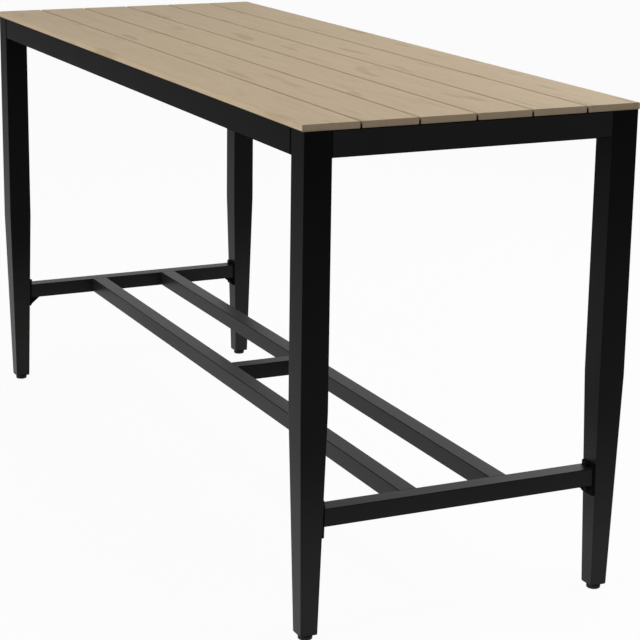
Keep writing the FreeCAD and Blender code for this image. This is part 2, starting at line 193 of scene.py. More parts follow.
# How high each layer stands out, and how rough and shiny the boards are.
STREAK_RELIEF, FIBRE_RELIEF, PORE_RELIEF = 0.5, 0.3, 0.5
EMBOSSING = 0.12 * MM
OAK_ROUGHNESS, OAK_ROUGHNESS_SPREAD, OAK_SPECULAR = 0.56, 0.14, 0.22


def board_numbers(x, y):
    """The board's number under a point, and the point's shifted places along and across."""
    share = (y - board_low.y) / board_pitch
    number = share.math("FLOOR", share)
    return number, x + number * BOARD_SHIFT_ALONG, y + number * BOARD_SHIFT_ACROSS


def grain(finish, along, across, z, layer):
    """One layer of grain, stretched along the board."""
    fine_along, fine_across, detail, roughness = layer
    return finish.noise(
        along * fine_along, across * fine_across, z * fine_across, detail=detail, roughness=roughness
    )


def oak_finish(name, shade=0.0, painted_shade_heights=None):
    """The oak look. The shade browns it all over, and painted shade darkens it between the two painted shade
    heights.
    """
    finish = Finish(name)
    x, y, z = finish.place()
    number, along, across = board_numbers(x, y)
    across = across + grain(finish, along, across, z, WAVER) * WAVER_REACH
    band, streak, fibre, pore, flame = [
        grain(finish, along, across, z, layer) for layer in (BAND, STREAK, FIBRE, PORE, FLAME)
    ]
    pores = finish.mask(pore, *PORE_MASK)
    flames = finish.mask(flame, *FLAME_MASK)
    # Far-apart points of the noise, one for each board, make some boards a little paler than others.
    board_tone = finish.noise(number * 3.7, number * 1.9, 0.5)
    tone = band * BAND_SHARE + streak * STREAK_SHARE + fibre * FIBRE_SHARE + (board_tone - 0.5) * BOARD_SHARE
    colour = finish.blend(finish.mask(tone, *TONE_MASK), OAK_MIDDLE, OAK_PALE)
    colour = finish.blend((1 - finish.mask(streak, *VALLEY_MASK)) * VALLEY_STRENGTH, colour, OAK_DARK)
    covering = flames * (FLAME_EVEN + streak * FLAME_STREAKED) * FLAME_STRENGTH
    colour = finish.blend(covering, colour, FLAME_BROWN)
    colour = finish.blend(pores * PORE_STRENGTH, colour, PORE_BROWN)
    if shade:
        colour = finish.blend(shade, colour, SAWN_BROWN)
    # Painted shade: the colour turns dark between the two heights.
    if painted_shade_heights:
        colour = finish.blend(finish.mask(z, *painted_shade_heights), colour, PAINTED_SHADE_BROWN)
    height = streak * STREAK_RELIEF + fibre * FIBRE_RELIEF - pores * PORE_RELIEF
    return finish.finished(
        Base_Color=colour,
        Roughness=OAK_ROUGHNESS + streak * OAK_ROUGHNESS_SPREAD,
        Normal=finish.bump(height, EMBOSSING),
        Specular_IOR_Level=OAK_SPECULAR,
    )


# Painted shade: a dark line along the lower edge of the face, the shadow under the board.
oak_face = oak_finish("oak_look_face_painted_shadow_line", painted_shade_heights=(board_low.z + 2.4 * MM, board_low.z + 1 * MM))
oak_end = oak_finish("oak_look_sawn_end", shade=0.44)
# Painted shade: the sides in the gaps turn dark from 2 mm to 8 mm below the top.
oak_gap = oak_finish("oak_look_gap_side_painted_shade", painted_shade_heights=(board_high.z - 2 * MM, board_high.z - 8 * MM))
oak_underside = oak_finish("oak_look_underside", shade=0.20)
print("each board is", round(board_width / MM, 1), "mm wide, and one comes every", round(board_pitch / MM, 1))

# %% [markdown]
# ## The black finishes
#
# The frame is powder coated: a nearly black skin with a fine orange-peel texture. In the photo it gets
# paler towards the floor, and faces that are seen at a glancing angle shine. So a paler tone is painted in
# near the floor, painted light that stands in for the light the floor throws back, and a thin clear coat
# grows from the top down. Legs and tubes have the full coat. The tubes' rounded corners and the seams get
# a darker copy of it, painted shade. The end aprons get a paler, duller copy, painted light, and the
# footrest's plates, with the rivet nuts behind them, a thick dark one. Plugs and glides are moulded
# plastic. The bolts are blackened steel. Studs, slat screws and the brackets' rivet nuts are zinc plated.
# All of them vary a little in roughness and bump rather than being one flat grey.

# %% Mix the black and metal finishes
# Heights above the floor in metres: where the painted floor light and the sheen start, and where they are
# full.
PAINTED_FLOOR_LIGHT_HEIGHTS = (0.45, 0.02)
SHEEN_HEIGHTS = (1.15, 0.25)
SHEEN_ROUGHNESS = 0.36
SHEEN_IOR = 1.15
# Large clouds and a fine grain mix the two tones. The clouds also vary the gloss and the painted floor light.
CLOUD_SCALE = 6
CLOUD_SHARE, FINE_SHARE = 0.6, 0.4
CLOUD_ROUGHNESS = 0.10
PAINTED_FLOOR_LIGHT_EVEN, PAINTED_FLOOR_LIGHT_CLOUDED = 0.8, 0.4


def skin_finish(
    name, low, high, gloss, size, depth, peel=0.12, metal=0.0, specular=0.5, painted_floor_light=None, sheen=0.0
):
    """A skin between two tones, with a grain of a size and depth, whose roughness starts at gloss.

    The paler tone near the floor is painted light, standing in for light from the floor, and the thin sheen
    grows from the top down.
    """
    finish = Finish(name)
    x, y, z = finish.place()
    cloud = finish.noise(x * CLOUD_SCALE, y * CLOUD_SCALE, z * CLOUD_SCALE, detail=3.0)
    fine = finish.noise(x, y, z, scale=1 / size)
    colour = finish.blend(cloud * CLOUD_SHARE + fine * FINE_SHARE, low, high)
    # Painted light: near the floor the colour turns paler, standing in for the light that the floor throws
    # back.
    if painted_floor_light:
        share = finish.mask(z, *PAINTED_FLOOR_LIGHT_HEIGHTS) * (PAINTED_FLOOR_LIGHT_EVEN + cloud * PAINTED_FLOOR_LIGHT_CLOUDED)
        colour = finish.blend(share, colour, painted_floor_light)
    return finish.finished(
        Base_Color=colour,
        Roughness=gloss + cloud * CLOUD_ROUGHNESS + fine * peel,
        Metallic=metal,
        Normal=finish.bump(fine, depth),
        Specular_IOR_Level=specular,
        Coat_Weight=finish.mask(z, *SHEEN_HEIGHTS) * sheen,
        Coat_Roughness=SHEEN_ROUGHNESS,
        Coat_IOR=SHEEN_IOR,
    )


powder_coat = skin_finish(
    "black_powder_coat_skin", (0.0035, 0.0035, 0.0035), (0.0070, 0.0070, 0.0069), gloss=0.36,
    size=0.9 * MM, depth=0.05 * MM, specular=0.010, painted_floor_light=(0.030, 0.0298, 0.0292), sheen=0.88,
)
# Painted light: the end aprons get a paler copy of the coat that stands in for more light on them.
end_apron_lit_coat = skin_finish(
    "paler_lit_powder_coat_end_apron", (0.0130, 0.0130, 0.0132), (0.0240, 0.0240, 0.0242), gloss=0.46,
    size=0.9 * MM, depth=0.05 * MM, specular=0.010,
)
# Painted shade: a darker copy of the coat, with no reflection, for the rounded corners and the seams.
edge_shade_coat = skin_finish(
    "painted_shade_powder_coat_edge", (0.0025, 0.0025, 0.0025), (0.0045, 0.0045, 0.0045), gloss=0.60,
    size=0.9 * MM, depth=0.03 * MM, specular=0.0, painted_floor_light=(0.013, 0.013, 0.013), sheen=0.45,
)
plate_coat = skin_finish(
    "thick_powder_coat_plate", (0.0025, 0.0025, 0.0025), (0.0055, 0.0055, 0.0055), gloss=0.50,
    size=0.9 * MM, depth=0.05 * MM, specular=0.015,
)
plug_plastic = skin_finish(
    "black_plug_plastic", (0.006, 0.006, 0.006), (0.011, 0.011, 0.011), gloss=0.52, size=0.5 * MM,
    depth=0.03 * MM, specular=0.15,
)
glide_plastic = skin_finish(
    "black_glide_plastic", (0.005, 0.005, 0.005), (0.011, 0.011, 0.010), gloss=0.46, size=0.6 * MM,
    depth=0.03 * MM, peel=0.16, specular=0.20,
)
zinc_plate = skin_finish(
    "bright_zinc_plate", (0.46, 0.47, 0.49), (0.62, 0.62, 0.61), gloss=0.26, size=0.4 * MM,
    depth=0.01 * MM, metal=1.0,
)
black_steel = skin_finish(
    "blackened_steel_skin", (0.004, 0.004, 0.004), (0.010, 0.010, 0.010), gloss=0.42, size=0.5 * MM,
    depth=0.01 * MM, metal=0.1, specular=0.05,
)
print("finishes:", [material.name for material in bpy.data.materials])

# %% [markdown]
# ## Tools for the workbench
#
# Nearly every piece starts as a block and has chosen edges rounded. These helpers make a block between two
# corners, find the edges that run one way, round them, cut by a plane, and turn the finished bmesh into an
# object that rides on its body and stands for its node.

# %% Workbench helpers
X, Y, Z = range(3)
SMOOTH_ANGLE = math.radians(30)
RIM_ANGLE = math.radians(50)
SQUARE_ANGLE = math.radians(60)
# An edge runs along an axis, or a face looks along it, if the cosine between them is above this.
RUNS_ALONG = 0.98
LOOKS_ALONG = 0.9


def block(low, high):
    bm = bmesh.new()
    bmesh.ops.create_cube(bm, size=1)
    bmesh.ops.scale(bm, vec=high - low, verts=bm.verts)
    bmesh.ops.translate(bm, vec=(low + high) / 2, verts=bm.verts)
    return bm


def edges_along(bm, axis, chosen=lambda middle: True):
    """The edges that run along an axis and whose middle is chosen."""
    found = []
    for edge in bm.edges:
        start, end = (vert.co for vert in edge.verts)
        if abs((end - start).normalized()[axis]) > RUNS_ALONG and chosen((start + end) / 2):
            found.append(edge)
    return found


def square_edges(bm):
    """The edges that no round has softened yet."""
    return [edge for edge in bm.edges if edge.is_manifold and edge.calc_face_angle(0) > SQUARE_ANGLE]


def soften(bm, edges, radius, segments):
    bmesh.ops.bevel(
        bm, geom=edges, offset=radius, offset_type="OFFSET", affect="EDGES", segments=segments,
        profile=0.5, material=-1, clamp_overlap=True,
    )


def cut(bm, point, normal, clear_outer=False):
    """Cut everything by a plane, and keep both sides or clear the one that the normal points to."""
    everything = list(bm.verts) + list(bm.edges) + list(bm.faces)
    bmesh.ops.bisect_plane(
        bm, geom=everything, plane_co=point, plane_no=normal, clear_outer=clear_outer
    )


def make_mesh(name, bm):
    mesh = bpy.data.meshes.new(name)
    bm.to_mesh(mesh)
    bm.free()
    return mesh


def add_object(name, data):
    thing = bpy.data.objects.new(name, data)
    bpy.context.scene.collection.objects.link(thing)
    return thing


def add_wall(piece, wall, rim):
    """A wall inside an open tube, and rounded rims at its two ends."""
    solidify = piece.modifiers.new("wall", "SOLIDIFY")
    solidify.thickness = wall
    solidify.offset = -1
    solidify.use_even_offset = True
    bevel = piece.modifiers.new("rim", "BEVEL")
    bevel.width = rim
    bevel.segments = 2
    bevel.limit_method = "ANGLE"
    bevel.angle_limit = RIM_ANGLE
    bevel.profile = 0.5


def finish_piece(name, bm, materials, body, slot, *nodes, wall=0.0, rim=0.0):
    """A finished bmesh becomes an object in its place, riding on its body.

    The weighted normals keep the large faces flat, so that only the rounded edges shade softly.
    """
    mesh = make_mesh(name, bm)
    for material in materials:
        mesh.materials.append(material)
    mesh.shade_smooth()
    mesh.set_sharp_from_angle(angle=SMOOTH_ANGLE)
    piece = add_object(name, mesh)
    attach(piece, body)
    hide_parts(*nodes)
    if wall:
        add_wall(piece, wall, rim)
    flat = piece.modifiers.new("flat_faces", "WEIGHTED_NORMAL")
    flat.keep_sharp = True
    return piece


print("sharper than", round(math.degrees(SMOOTH_ANGLE)), "degrees stays an edge")

# %% [markdown]
# ## The six boards
#
# Each board is 14 mm thick, with its long top edges eased so that the 4 mm gaps read as a V. The sawn ends
# are crisper. A board is a block whose long top edges are rounded first, then the lower edges, which keep
# the small step that shows as a dark line over the apron; the lower rounds also get painted shade. Each
# face then gets one of the four finishes by the way it looks. The outer sides of the first and last board
# look at no gap, so they count as face.

# %% Plane the boards
ARRIS = 2.4 * MM
END_ARRIS = 0.6 * MM
SHADOW_EDGE = 2.0 * MM
OUTER_SIDES = {1: -1, BOARD_COUNT: 1}
# How squarely a face looks along its axis to count as an end, the underside, a gap's side or a lower round.
END_LOOK, UNDERSIDE_LOOK, GAP_LOOK, LOWER_LOOK = 0.8, 0.95, 0.5, 0.3
BOARD_FINISHES = (oak_face, oak_end, oak_gap, oak_underside)
FACE, END, GAP, UNDERSIDE = range(len(BOARD_FINISHES))


def board_finish(normal, outer_side):
    """Which finish a face gets, from its normal. The outer side is -1 or 1, or 0 between two gaps."""
    if abs(normal.x) > END_LOOK:
        return END
    if normal.z < -UNDERSIDE_LOOK:
        return UNDERSIDE
    # The lower rounds get the gap finish, which is painted shade there.
    if normal.z < -LOWER_LOOK:
        return GAP
    return GAP if abs(normal.y) > GAP_LOOK and normal.y * outer_side <= 0 else FACE


def make_board(number):
    low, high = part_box(f"slat_{number}")
    bm = block(low, high)
    soften(bm, edges_along(bm, X, lambda middle: middle.z > high.z - MM), ARRIS, segments=3)
    soften(bm, edges_along(bm, X, lambda middle: middle.z < low.z + MM), SHADOW_EDGE, segments=2)
    ends = [edge for edge in square_edges(bm) if abs(edge.verts[0].co.x) > high.x - MM]
    soften(bm, ends, END_ARRIS, segments=2)
    bm.normal_update()
    for face in bm.faces:
        face.material_index = board_finish(face.normal, OUTER_SIDES.get(number, 0))
    return finish_piece(f"board_{number}", bm, BOARD_FINISHES, "table", "slat_board", f"slat_{number}")


boards = [make_board(number) for number in range(1, BOARD_COUNT + 1)]
print(len(boards), "boards,", sum(len(board.data.polygons) for board in boards), "faces")

# %% [markdown]
# ## The tapered legs
#
# A leg is a 59 mm square tube, straight down to 480 mm above the floor, and below that drawn in on all
# four sides to 37.5 mm. A block is cut round at the taper's height, its foot is scaled in, its long corners
# are rounded, and its two ends are opened. The Solidify modifier then gives the tube its 2 mm wall.

# %% Draw in the legs
CORNERS = [f"{side}_{end}" for side in ("front", "back") for end in ("left", "right")]
TAPER_HEIGHT = 480 * MM
FOOT_SIDE = 37.5 * MM
LEG_CORNER = 1.4 * MM
LEG_WALL = 2 * MM
LEG_RIM = 0.4 * MM


def open_ends(bm, axis, low, high):
    """Delete the two end faces of a tube that runs along an axis."""
    bm.normal_update()
    ends = []
    for face in bm.faces:
        place = face.calc_center_median()[axis]
        if abs(face.normal[axis]) > LOOKS_ALONG and (place < low + MM or place > high - MM):
            ends.append(face)
    bmesh.ops.delete(bm, geom=ends, context="FACES")


def make_leg(corner):
    low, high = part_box(f"leg_{corner}")
    middle = (low + high) / 2
    bm = block(low, high)
    cut(bm, (0, 0, TAPER_HEIGHT), (0, 0, 1))
    foot = [vert for vert in bm.verts if vert.co.z < low.z + MM]
    share = FOOT_SIDE / (high.x - low.x)
    axis = Matrix.Translation(Vector((-middle.x, -middle.y, 0)))
    bmesh.ops.scale(bm, vec=(share, share, 1), space=axis, verts=foot)
    soften(bm, edges_along(bm, Z), LEG_CORNER, segments=3)
    open_ends(bm, Z, low.z, high.z)
    return finish_piece(
        f"tapered_leg_{corner}", bm, (powder_coat,), "table", "black_powder_coat", f"leg_{corner}",
        wall=LEG_WALL, rim=LEG_RIM,
    )


legs = [make_leg(corner) for corner in CORNERS]
print(len(legs), "legs, drawn in from", round(legs[0].dimensions.x / MM, 1), "to", FOOT_SIDE / MM, "mm")

# %% [markdown]
# ## Aprons, rails and brace
#
# These are rectangular tubes: blocks with rounded long corners and open ends, whose modifiers give them a
# wall and a small round on the rims. Where an apron meets a leg the photo shows a dark line, wide on the
# long aprons and fine on the end ones. It is painted as a ring of darker coat round the tube's end:
# painted shade in the joint. The same darker coat is painted on every rounded corner as a painted shade
# line. The stretchers end at the leaning legs, so their ends are sheared to that lean.

# %% Cut the tubes
TUBE_CORNER = 1.4 * MM
TUBE_RIM = 0.7 * MM
# The seam widths are how far from each end the ring of painted shade reaches.
LONG_SEAM = 7 * MM
END_SEAM = 1 * MM
FRAME_WALL = 2 * MM
FOOTREST_WALL = 1.6 * MM
# A face on a rounded corner looks more than this along a second axis too.
ROUNDED = 0.2
BODY_COAT, PAINTED_SHADE_COAT = range(2)

leg_low, leg_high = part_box("leg_front_left")
LEG_SIDE = leg_high.x - leg_low.x
LEAN = (LEG_SIDE - FOOT_SIDE) / 2 / (TAPER_HEIGHT - leg_low.z)


def mark_edges(bm, axis, low, high, seam):
    """The darker coat of painted shade goes on the rounded corners, and on a ring round each end where there
    is a seam.
    """
    along = Vector([float(number == axis) for number in range(3)])
    if seam:
        for place in (low + seam, high - seam):
            cut(bm, along * place, along)
    bm.normal_update()
    for face in bm.faces:
        in_ring = not low + seam < face.calc_center_median()[axis] < high - seam
        rounded = sorted(abs(value) for value in face.normal)[1] > ROUNDED
        face.material_index = PAINTED_SHADE_COAT if in_ring or rounded else BODY_COAT


def shear_ends(bm, axis, low, high, lean):
    """Shear the two ends of a block, so that its lower edges reach further out than its upper ones."""
    for side in (-1, 1):
        shear = Matrix.Identity(4)
        shear[axis][Z] = -side * lean
        place = Matrix.Translation(Vector((0, 0, -(low.z + high.z) / 2)))
        verts = [vert for vert in bm.verts if vert.co[axis] * side > 0]
        bmesh.ops.transform(bm, matrix=shear, space=place, verts=verts)


def make_tube(node, axis, wall, name, lean=0.0, seam=0.0, coat=powder_coat):
    """A tube along an axis. With a lean, its two ends are cut to the slope of the legs."""
    low, high = (corner.copy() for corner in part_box(node))
    reach = (high.z - low.z) / 2 * lean
    low[axis] += reach
    high[axis] -= reach
    bm = block(low, high)
    if lean:
        shear_ends(bm, axis, low, high, lean)
    soften(bm, edges_along(bm, axis), TUBE_CORNER, segments=3)
    open_ends(bm, axis, low[axis], high[axis])
    mark_edges(bm, axis, low[axis], high[axis], seam)
    return finish_piece(
        name, bm, (coat, edge_shade_coat), "table", "black_powder_coat", node, wall=wall, rim=TUBE_RIM
    )


tubes = [
    make_tube(f"apron_{side}", X, FRAME_WALL, f"apron_tube_{side}", seam=LONG_SEAM)
    for side in ("front", "back")
]
tubes += [
    make_tube(f"apron_{side}", Y, FRAME_WALL, f"apron_tube_{side}", seam=END_SEAM, coat=end_apron_lit_coat)
    for side in ("left", "right")
]
tubes += [make_tube(f"rail_{side}", X, FOOTREST_WALL, f"footrest_rail_{side}") for side in ("front", "back")]
tubes += [make_tube("cross_brace", Y, FOOTREST_WALL, "footrest_brace")]
tubes += [
    make_tube(f"stretcher_{side}", Y, FOOTREST_WALL, f"footrest_stretcher_{side}", lean=LEAN)
    for side in ("left", "right")
]
print(len(tubes), "tubes; the legs lean in by", round(math.degrees(math.atan(LEAN)), 2), "degrees")

# %% [markdown]
# ## End plates and their bolts
#
# A plate closes each end of the footrest, and two bolts hold it to the leg, one just above the tube and one
# below it. In the photo the plate ends just above the tube, reaches further down below it, and a rib in the
# corner underneath stiffens it. The frame's own plates have rounder corners, sit 7 mm higher and have no
# rib, so these follow the photo. The leg's face leans, so plate, rib and bolts are made upright round the
# origin and then turned and moved as one. The rib is a triangle that is extruded. A bolt's head has a
# hexagon socket: the top face is inset, its ring is drawn to a hexagon, and the face is pushed in.

# %% Make the plates and cap bolts
PLATE_WIDTH = 45 * MM
PLATE_HEIGHT = 70 * MM
PLATE_THICKNESS = 5 * MM
PLATE_CORNER = 3 * MM
PLATE_EDGE = 0.9 * MM
PLATE_DROP = 7 * MM
RIB_REACH = 25 * MM
RIB_THICKNESS = 4 * MM
RIB_ASIDE = 15 * MM
RIB_EDGE = 0.5 * MM
# The rib bites a little into the tube and the plate, and stops a little above the plate's lower edge.
RIB_IN_TUBE = 0.5 * MM
RIB_IN_PLATE = 1 * MM
RIB_ABOVE_EDGE = 1 * MM
BOLT_HEIGHTS = (-21 * MM, 32 * MM)
HEAD_RADIUS = 5.5 * MM
HEAD_HEIGHT = 7 * MM
HEAD_EDGE = 0.9 * MM
HEAD_SEGMENTS = 36
SOCKET_INSET = 1.1 * MM
SOCKET_FLATS = 5 * MM
SOCKET_DEPTH = 3.2 * MM
SHANK_RADIUS = 2.9 * MM
SHANK_EDGE = 0.6 * MM
BOLT_LENGTH = 14 * MM


def leg_face(corner):
    """A turn and a place: Z up along the leg's inner face, Y out of it towards the table's middle."""
    low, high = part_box(f"end_plate_{corner}")
    leg = sum(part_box(f"leg_{corner}"), Vector()) / 2
    inward = 1 if corner.startswith("front") else -1
    height = (low.z + high.z) / 2 - PLATE_DROP
    half_side = FOOT_SIDE / 2 + LEAN * (height - leg_low.z)
    place = Vector((leg.x, leg.y + inward * half_side, height))
    up = Vector((0, inward * LEAN, 1)).normalized()
    out = Vector((0, inward, -LEAN)).normalized()
    turn = Matrix((out.cross(up), out, up)).transposed().to_4x4()
    return Matrix.Translation(place) @ turn


def add_rib(bm, aside):
    """A triangle in the corner between the plate and the underside of the tube."""
    tube_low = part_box("stretcher_left")[0].z
    plate_middle = sum(height.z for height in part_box("end_plate_front_left")) / 2 - PLATE_DROP
    top = tube_low - plate_middle + RIB_IN_TUBE
    bottom = RIB_ABOVE_EDGE - PLATE_HEIGHT / 2
    start = PLATE_THICKNESS - RIB_IN_PLATE
    corners = [(start, top), (PLATE_THICKNESS + RIB_REACH, top), (start, bottom)]
    near = [bm.verts.new((aside - RIB_THICKNESS / 2, y, z)) for y, z in corners]
    made = bmesh.ops.extrude_face_region(bm, geom=[bm.faces.new(near)])["geom"]
    far = [part for part in made if isinstance(part, bmesh.types.BMVert)]
    bmesh.ops.translate(bm, vec=(RIB_THICKNESS, 0, 0), verts=far)
    bmesh.ops.recalc_face_normals(bm, faces=bm.faces)
    rims = [edge for edge in bm.edges if edge.verts[0] in near + far]
    soften(bm, rims, RIB_EDGE, segments=2)


def make_plate(corner):
    reach = Vector((PLATE_WIDTH / 2, 0, PLATE_HEIGHT / 2))
    bm = block(-reach, reach + Vector((0, PLATE_THICKNESS, 0)))
    soften(bm, edges_along(bm, Y), PLATE_CORNER, segments=4)
    soften(bm, square_edges(bm), PLATE_EDGE, segments=2)
    add_rib(bm, RIB_ASIDE if corner in ("front_left", "back_right") else -RIB_ASIDE)
    bmesh.ops.transform(bm, matrix=leg_face(corner), verts=bm.verts)
    return finish_piece(
        f"footrest_plate_{corner}", bm, (plate_coat,), "table", "black_powder_coat", f"end_plate_{corner}"
    )


def hexagon_reach(angle, flats):
    """How far a hexagon's edge is from its middle at an angle."""
    turn = math.radians(60)
    return flats / 2 / math.cos((angle % turn) - turn / 2)


def make_cap_bolt():
    """A cap bolt along +Z: its head stands on the plane z = 0 and its shank goes down from there."""
    bolt = bmesh.new()
    bmesh.ops.create_cone(
        bolt, cap_ends=True, segments=HEAD_SEGMENTS, radius1=HEAD_RADIUS, radius2=HEAD_RADIUS,
        depth=HEAD_HEIGHT, matrix=Matrix.Translation((0, 0, HEAD_HEIGHT / 2)),
    )
    rim = [edge for edge in bolt.edges if min(vert.co.z for vert in edge.verts) > HEAD_HEIGHT - MM / 2]
    soften(bolt, rim, HEAD_EDGE, segments=3)
    top = max(bolt.faces, key=lambda face: face.calc_center_median().z)
    bmesh.ops.inset_individual(bolt, faces=[top], thickness=SOCKET_INSET)
    for vert in top.verts:
        angle = math.atan2(vert.co.y, vert.co.x)
        reach = hexagon_reach(angle, SOCKET_FLATS)
        vert.co.x, vert.co.y = reach * math.cos(angle), reach * math.sin(angle)
    floor = bmesh.ops.extrude_discrete_faces(bolt, faces=[top])["faces"][0]
    bmesh.ops.translate(bolt, vec=(0, 0, -SOCKET_DEPTH), verts=floor.verts)
    under = min(bolt.faces, key=lambda face: face.calc_center_median().z)
    bmesh.ops.inset_individual(bolt, faces=[under], thickness=HEAD_RADIUS - SHANK_RADIUS)
    end = bmesh.ops.extrude_discrete_faces(bolt, faces=[under])["faces"][0]
    bmesh.ops.translate(bolt, vec=(0, 0, -BOLT_LENGTH), verts=end.verts)
    soften(bolt, list(end.edges), SHANK_EDGE, segments=2)
    return make_mesh("cap_bolt", bolt)


def make_footrest_bolts():
    """Two bolts a plate, eight in all, as one piece."""
    pattern = make_cap_bolt()
    stand = Matrix.Rotation(math.radians(-90), 4, "X")
    bm = bmesh.new()
    for corner in CORNERS:
        for height in BOLT_HEIGHTS:
            place = Matrix.Translation((0, PLATE_THICKNESS, height))
            start = len(bm.verts)
            bm.from_mesh(pattern)
            bm.verts.ensure_lookup_table()
            bmesh.ops.transform(bm, matrix=leg_face(corner) @ place @ stand, verts=bm.verts[start:])
    bmesh.ops.recalc_face_normals(bm, faces=bm.faces)
    bpy.data.meshes.remove(pattern)
    return finish_piece(
        "footrest_cap_bolts", bm, (black_steel,), "table", "blackened_steel", "footrest_bolts"
    )


plates = [make_plate(corner) for corner in CORNERS]
cap_bolts = make_footrest_bolts()
print(len(plates), "plates and", 2 * len(plates), "bolts,", len(cap_bolts.data.polygons), "faces")

# %% [markdown]
# ## Screw feet
#
# Each foot is a black glide on a steel stud. The stud has a hexagon collar to turn it by, and above that
# an M8 thread that runs up into the leg's plug. The glide is turned: half its outline is spun round the
# leg's axis, and its rims are rounded. The thread is spun too, but with a lift: each step of the spin
# climbs a little, so that one turn lifts the outline by its own height and the turns join to a screw.

# %% Turn the glides and cut the threads
GLIDE_SEGMENTS = 64
GLIDE_EDGE = 2.5 * MM
GLIDE_SHOULDER = 1.2 * MM
GLIDE_SOCKET_RADIUS = 4.2 * MM
GLIDE_SOCKET_FLOOR = 2.5 * MM
GLIDE_SOCKET_EDGE = 0.5 * MM
COLLAR_LOW = 8 * MM
COLLAR_HIGH = 12 * MM
COLLAR_FLATS = 13 * MM
COLLAR_EDGE = 0.4 * MM
NECK_RADIUS = 3.6 * MM
NECK_SEGMENTS = 32
NECK_DROP = 0.5 * MM
THREAD_IN_COLLAR = 1 * MM
THREAD_PITCH = 1.25 * MM
THREAD_RADIUS = 3.98 * MM
THREAD_ROOT = 3.3 * MM
THREAD_STEPS = 28
# One turn of the thread from below: a radius and a share of the pitch for each point.
THREAD_PROFILE = [(THREAD_RADIUS, 0), (THREAD_RADIUS, 0.12), (THREAD_ROOT, 0.50), (THREAD_ROOT, 0.62),
                  (THREAD_RADIUS, 1)]
# Turns that are spun beyond the thread's length, so that both ends can be cut flat.
SPARE_TURNS = 2
WELD = MM / 100
NEAR = MM / 50


def spin_round(outline, segments):
    """Spin a half outline, points of radius and height, a full turn round Z."""
    bm = bmesh.new()
    verts = [bm.verts.new((radius, 0, height)) for radius, height in outline]
    edges = [bm.edges.new(pair) for pair in zip(verts, verts[1:])]
    bmesh.ops.spin(
        bm, geom=verts + edges, cent=(0, 0, 0), axis=(0, 0, 1), angle=math.tau, steps=segments,
        use_merge=True, use_duplicate=False,
    )
    bmesh.ops.remove_doubles(bm, verts=bm.verts, dist=WELD)
    bmesh.ops.recalc_face_normals(bm, faces=bm.faces)
    return bm


def ring(bm, radius, height):
    """The edges of the circle with that radius and height."""
    def on_ring(vert):
        return abs(vert.co.xy.length - radius) < NEAR and abs(vert.co.z - height) < NEAR
    return [edge for edge in bm.edges if all(on_ring(vert) for vert in edge.verts)]


def make_glide(corner):
    low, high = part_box(f"foot_pad_{corner}")
    radius, height = (high.x - low.x) / 2, high.z - low.z
    outline = [
        (0, 0), (radius, 0), (radius, height), (GLIDE_SOCKET_RADIUS, height),
        (GLIDE_SOCKET_RADIUS, GLIDE_SOCKET_FLOOR), (0, GLIDE_SOCKET_FLOOR),
    ]
    bm = spin_round(outline, GLIDE_SEGMENTS)
    soften(bm, ring(bm, radius, 0), GLIDE_EDGE, segments=6)
    soften(bm, ring(bm, radius, height), GLIDE_SHOULDER, segments=4)
    soften(bm, ring(bm, GLIDE_SOCKET_RADIUS, height), GLIDE_SOCKET_EDGE, segments=2)
    middle = (low + high) / 2
    bmesh.ops.translate(bm, vec=(middle.x, middle.y, low.z), verts=bm.verts)
    return finish_piece(
        f"foot_glide_{corner}", bm, (glide_plastic,), f"pad_{corner}", "black_glide", f"foot_pad_{corner}"
    )


def add_thread(bm, low, high):
    """A screw thread round Z between two heights, closed by flat ends."""
    bottom = low - SPARE_TURNS * THREAD_PITCH
    turns = math.ceil((high - low) / THREAD_PITCH) + SPARE_TURNS
    verts = [bm.verts.new((radius, 0, bottom + share * THREAD_PITCH)) for radius, share in THREAD_PROFILE]
    edges = [bm.edges.new(pair) for pair in zip(verts, verts[1:])]
    bmesh.ops.spin(
        bm, geom=verts + edges, cent=(0, 0, 0), axis=(0, 0, 1), dvec=(0, 0, THREAD_PITCH / THREAD_STEPS),
        angle=math.tau * turns, steps=THREAD_STEPS * turns, use_merge=False, use_duplicate=False,
    )
    bmesh.ops.remove_doubles(bm, verts=bm.verts, dist=WELD)
    for height, up in ((low, -1), (high, 1)):
        cut(bm, (0, 0, height), (0, 0, up), clear_outer=True)
        rim = [edge for edge in bm.edges if edge.is_boundary and abs(edge.verts[0].co.z - height) < NEAR]
        bmesh.ops.contextual_create(bm, geom=rim)


def make_collar(turn):
    """A hexagon nut round Z with softened edges, turned by an angle."""
    collar = bmesh.new()
    reach = COLLAR_FLATS / 2 / math.cos(math.radians(30))
    lift = Matrix.Translation((0, 0, (COLLAR_LOW + COLLAR_HIGH) / 2))
    bmesh.ops.create_cone(
        collar, cap_ends=True, segments=6, radius1=reach, radius2=reach, depth=COLLAR_HIGH - COLLAR_LOW,
        matrix=lift @ Matrix.Rotation(turn, 4, "Z"),
    )
    soften(collar, list(collar.edges), COLLAR_EDGE, segments=2)
    return make_mesh("collar", collar)


